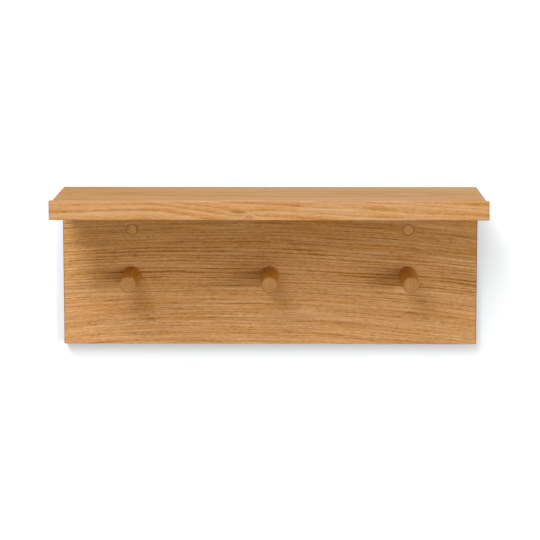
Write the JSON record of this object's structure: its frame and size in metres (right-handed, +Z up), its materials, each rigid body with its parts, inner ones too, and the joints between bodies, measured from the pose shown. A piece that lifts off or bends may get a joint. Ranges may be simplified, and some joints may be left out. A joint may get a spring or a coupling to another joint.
{
  "type": "shaker peg rail with shelf",
  "caption": "Wall rail with turned taper pegs under a shelf that has a raised front lip; push-in plugs cover the wall-screw holes.",
  "frame": {"origin": "on the wall's face, midway between the two wall-screw holes", "axes": "+X along the rail, from left to right as seen from the room; +Y into the wall; +Z up"},
  "size_m": [0.45, 0.15, 0.1745],
  "materials": {
    "oak_panel": "clear oiled oak board with the grain along the rail",
    "oak_shelf": "clear oiled oak board with the grain along the rail",
    "oak_lip": "clear oiled oak strip with the grain along the rail",
    "oak_pegs": "turned and oiled oak with end grain on the tips",
    "oak_plugs": "oiled oak plug with the grain across its face",
    "beech_dowels": "bare fluted beech"
  },
  "bodies": {
    "rail": {"back_panel": "oak_panel", "shelf_board": "oak_shelf", "front_lip": "oak_lip", "peg_left": "oak_pegs", "peg_middle": "oak_pegs", "peg_right": "oak_pegs", "shelf_dowel_1": "beech_dowels", "shelf_dowel_2": "beech_dowels", "shelf_dowel_3": "beech_dowels", "shelf_dowel_4": "beech_dowels", "shelf_dowel_5": "beech_dowels", "lip_dowel_1": "beech_dowels", "lip_dowel_2": "beech_dowels", "lip_dowel_3": "beech_dowels", "lip_dowel_4": "beech_dowels", "lip_dowel_5": "beech_dowels"},
    "left_plug": {"cover_plug_left": "oak_plugs"},
    "right_plug": {"cover_plug_right": "oak_plugs"}
  },
  "joints": [
    {"name": "left_plug_pull", "type": "slide", "parent": "rail", "child": "left_plug", "axis": [0, -1, 0], "range_m": [0, 0.02]},
    {"name": "right_plug_pull", "type": "slide", "parent": "rail", "child": "right_plug", "axis": [0, -1, 0], "range_m": [0, 0.02]}
  ]
}
